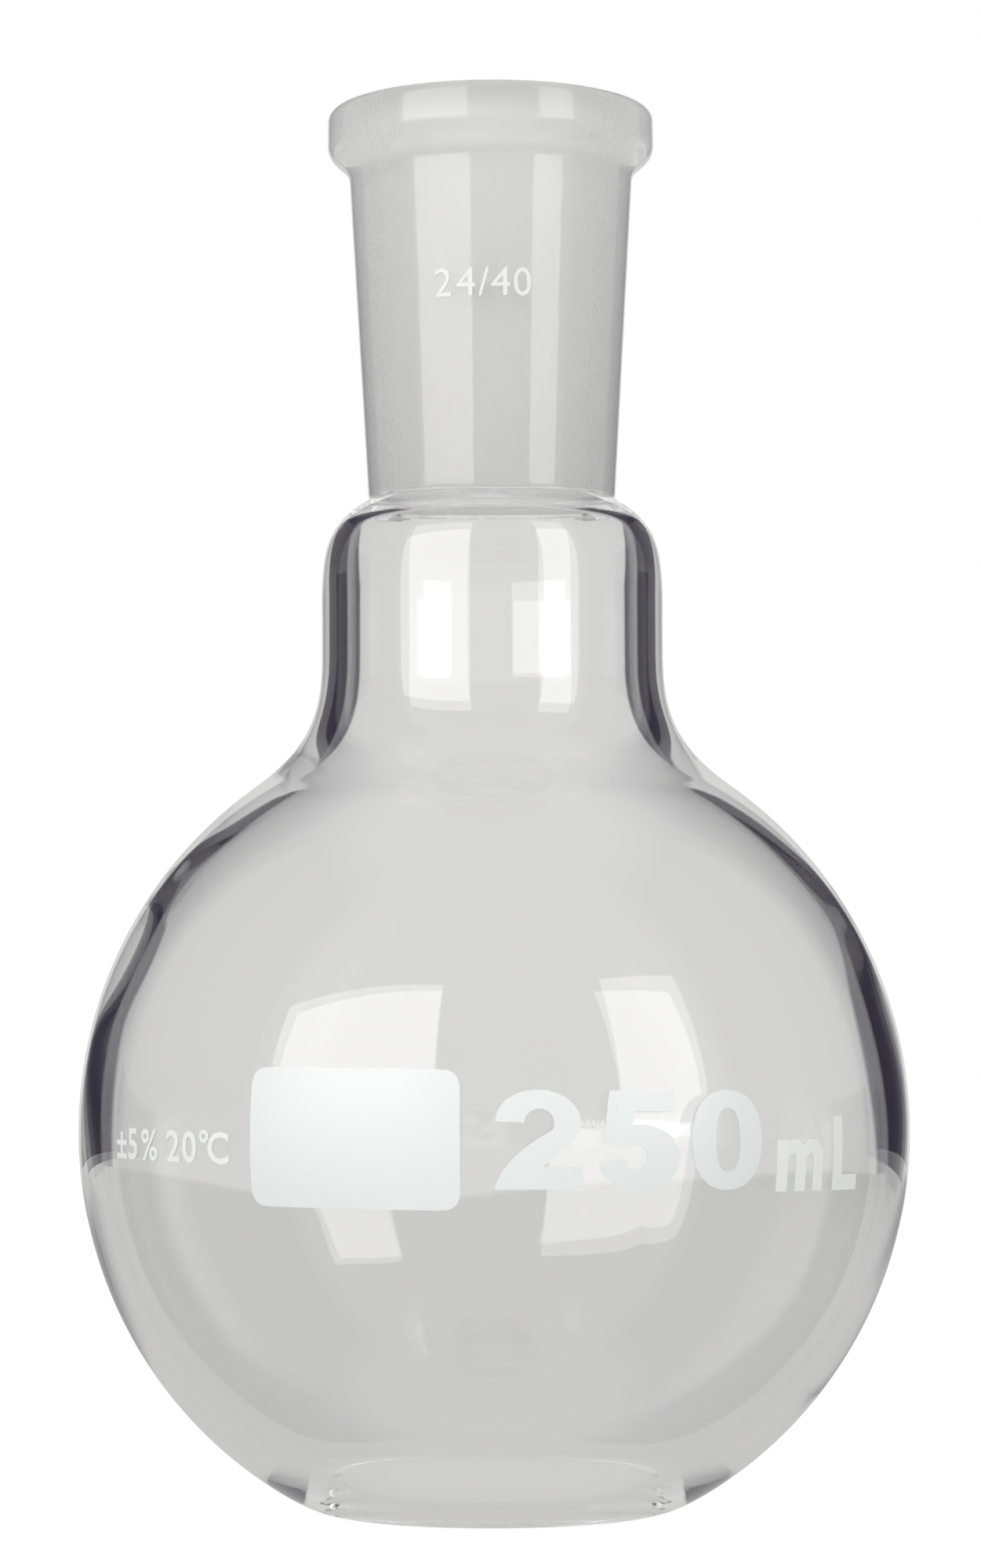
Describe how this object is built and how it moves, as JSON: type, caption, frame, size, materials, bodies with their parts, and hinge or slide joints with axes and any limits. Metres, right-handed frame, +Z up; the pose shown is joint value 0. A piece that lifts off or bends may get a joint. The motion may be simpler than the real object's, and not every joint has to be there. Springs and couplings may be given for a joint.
{
  "type": "flat bottom boiling flask",
  "caption": "Clear glass laboratory flask: round bulb on a flat foot, straight neck, ground taper socket with a beaded rim, white enamel marks and a blank write-on panel.",
  "frame": {"origin": "centre of the flat foot's underside, on the flask's axis", "axes": "+Z up the flask's axis, from the foot to the mouth; the marks face -Y, and +X is on the right of someone who reads them"},
  "size_m": [0.085, 0.0851, 0.144],
  "materials": {
    "clear_glass": "clear polished borosilicate glass",
    "ground_glass": "clear glass, ground matt on the inside of the socket",
    "white_enamel": "white fired enamel, semi-matt"
  },
  "bodies": {
    "root": {"blown_body": "clear_glass", "ground_socket": "ground_glass", "write_on_panel": "white_enamel", "capacity_mark_2": "white_enamel", "capacity_mark_5": "white_enamel", "capacity_mark_0": "white_enamel", "unit_mark_m": "white_enamel", "unit_mark_l": "white_enamel", "joint_mark_2": "white_enamel", "joint_mark_4_1": "white_enamel", "joint_mark_slash": "white_enamel", "joint_mark_4_2": "white_enamel", "joint_mark_0": "white_enamel", "tolerance_mark_plus_minus_1": "white_enamel", "tolerance_mark_plus_minus_2": "white_enamel", "tolerance_mark_5": "white_enamel", "tolerance_mark_percent_1": "white_enamel", "tolerance_mark_percent_2": "white_enamel", "tolerance_mark_percent_3": "white_enamel", "tolerance_mark_2": "white_enamel", "tolerance_mark_0": "white_enamel", "tolerance_mark_degree": "white_enamel", "tolerance_mark_c": "white_enamel"}
  },
  "joints": []
}
